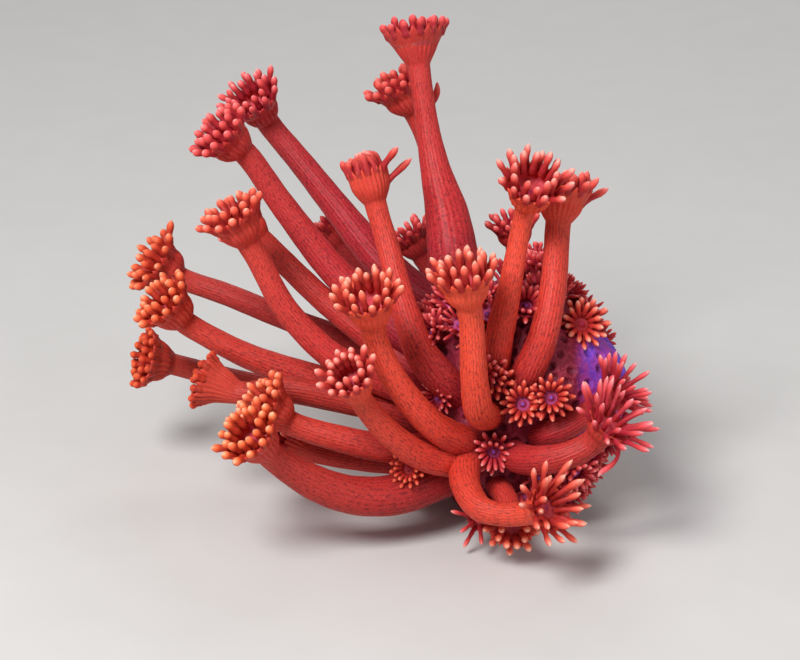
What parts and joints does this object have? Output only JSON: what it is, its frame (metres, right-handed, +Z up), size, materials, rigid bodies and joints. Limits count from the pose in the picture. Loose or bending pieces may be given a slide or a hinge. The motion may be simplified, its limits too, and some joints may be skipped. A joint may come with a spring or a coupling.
{
  "type": "flowerpot coral",
  "caption": "Stony coral colony, cut flat where it grew, with long fleshy polyps on bending stalks that end in flower-like crowns of blunt tentacles.",
  "frame": {"origin": "centre of the flat cut under the coral head, where the colony grew on rock", "axes": "+Z up, away from the cut; +X to the right as the colony is seen in the picture; +Y away from the viewer"},
  "size_m": [0.1299, 0.1305, 0.1147],
  "materials": {
    "polyp_flesh": "wet, translucent orange-red flesh with fine lengthwise streaks and paler tentacle tips",
    "short_polyp_flesh": "wet crimson flesh with pinkish tentacle tips",
    "coral_head_skin": "stony and finely pitted under a thin violet living skin"
  },
  "bodies": {
    "root": {"coral_head": "coral_head_skin", "polyp_front_upper": "polyp_flesh", "polyp_front_middle": "polyp_flesh", "polyp_front_centre": "polyp_flesh", "polyp_right_front": "polyp_flesh", "polyp_right_back": "polyp_flesh", "polyp_front_curled": "polyp_flesh", "polyp_low_front": "polyp_flesh", "polyp_right_lower": "polyp_flesh", "polyp_right_upper": "polyp_flesh", "polyp_centre": "polyp_flesh", "polyp_top": "polyp_flesh", "polyp_top_behind": "polyp_flesh", "polyp_upper_left": "polyp_flesh", "polyp_upper_left_back": "polyp_flesh", "polyp_left_upper": "polyp_flesh", "polyp_left_upper_behind": "polyp_flesh", "polyp_left_high": "polyp_flesh", "polyp_left_middle": "polyp_flesh", "polyp_left_low_back": "polyp_flesh", "polyp_left_low": "polyp_flesh", "polyp_front_left_upper": "polyp_flesh", "polyp_front_left_lower": "polyp_flesh", "polyp_front_left_behind": "polyp_flesh", "polyp_right_open": "polyp_flesh", "polyp_low_left": "polyp_flesh", "polyp_rear_left": "polyp_flesh", "polyp_rear_middle": "polyp_flesh", "polyp_rear_top": "polyp_flesh", "polyp_rear_right": "polyp_flesh", "polyp_back_left": "polyp_flesh", "polyp_back_middle": "polyp_flesh", "polyp_back_right": "polyp_flesh", "polyp_back_top": "polyp_flesh", "short_front_low": "short_polyp_flesh", "short_front_left": "short_polyp_flesh", "short_front_middle": "short_polyp_flesh", "short_front_right": "short_polyp_flesh", "short_front_high": "short_polyp_flesh", "short_right_low": "short_polyp_flesh", "short_left_middle": "short_polyp_flesh", "short_left_high": "short_polyp_flesh", "short_top": "short_polyp_flesh", "short_right_back": "short_polyp_flesh", "short_back_right": "short_polyp_flesh", "short_back_middle": "short_polyp_flesh"}
  },
  "joints": []
}
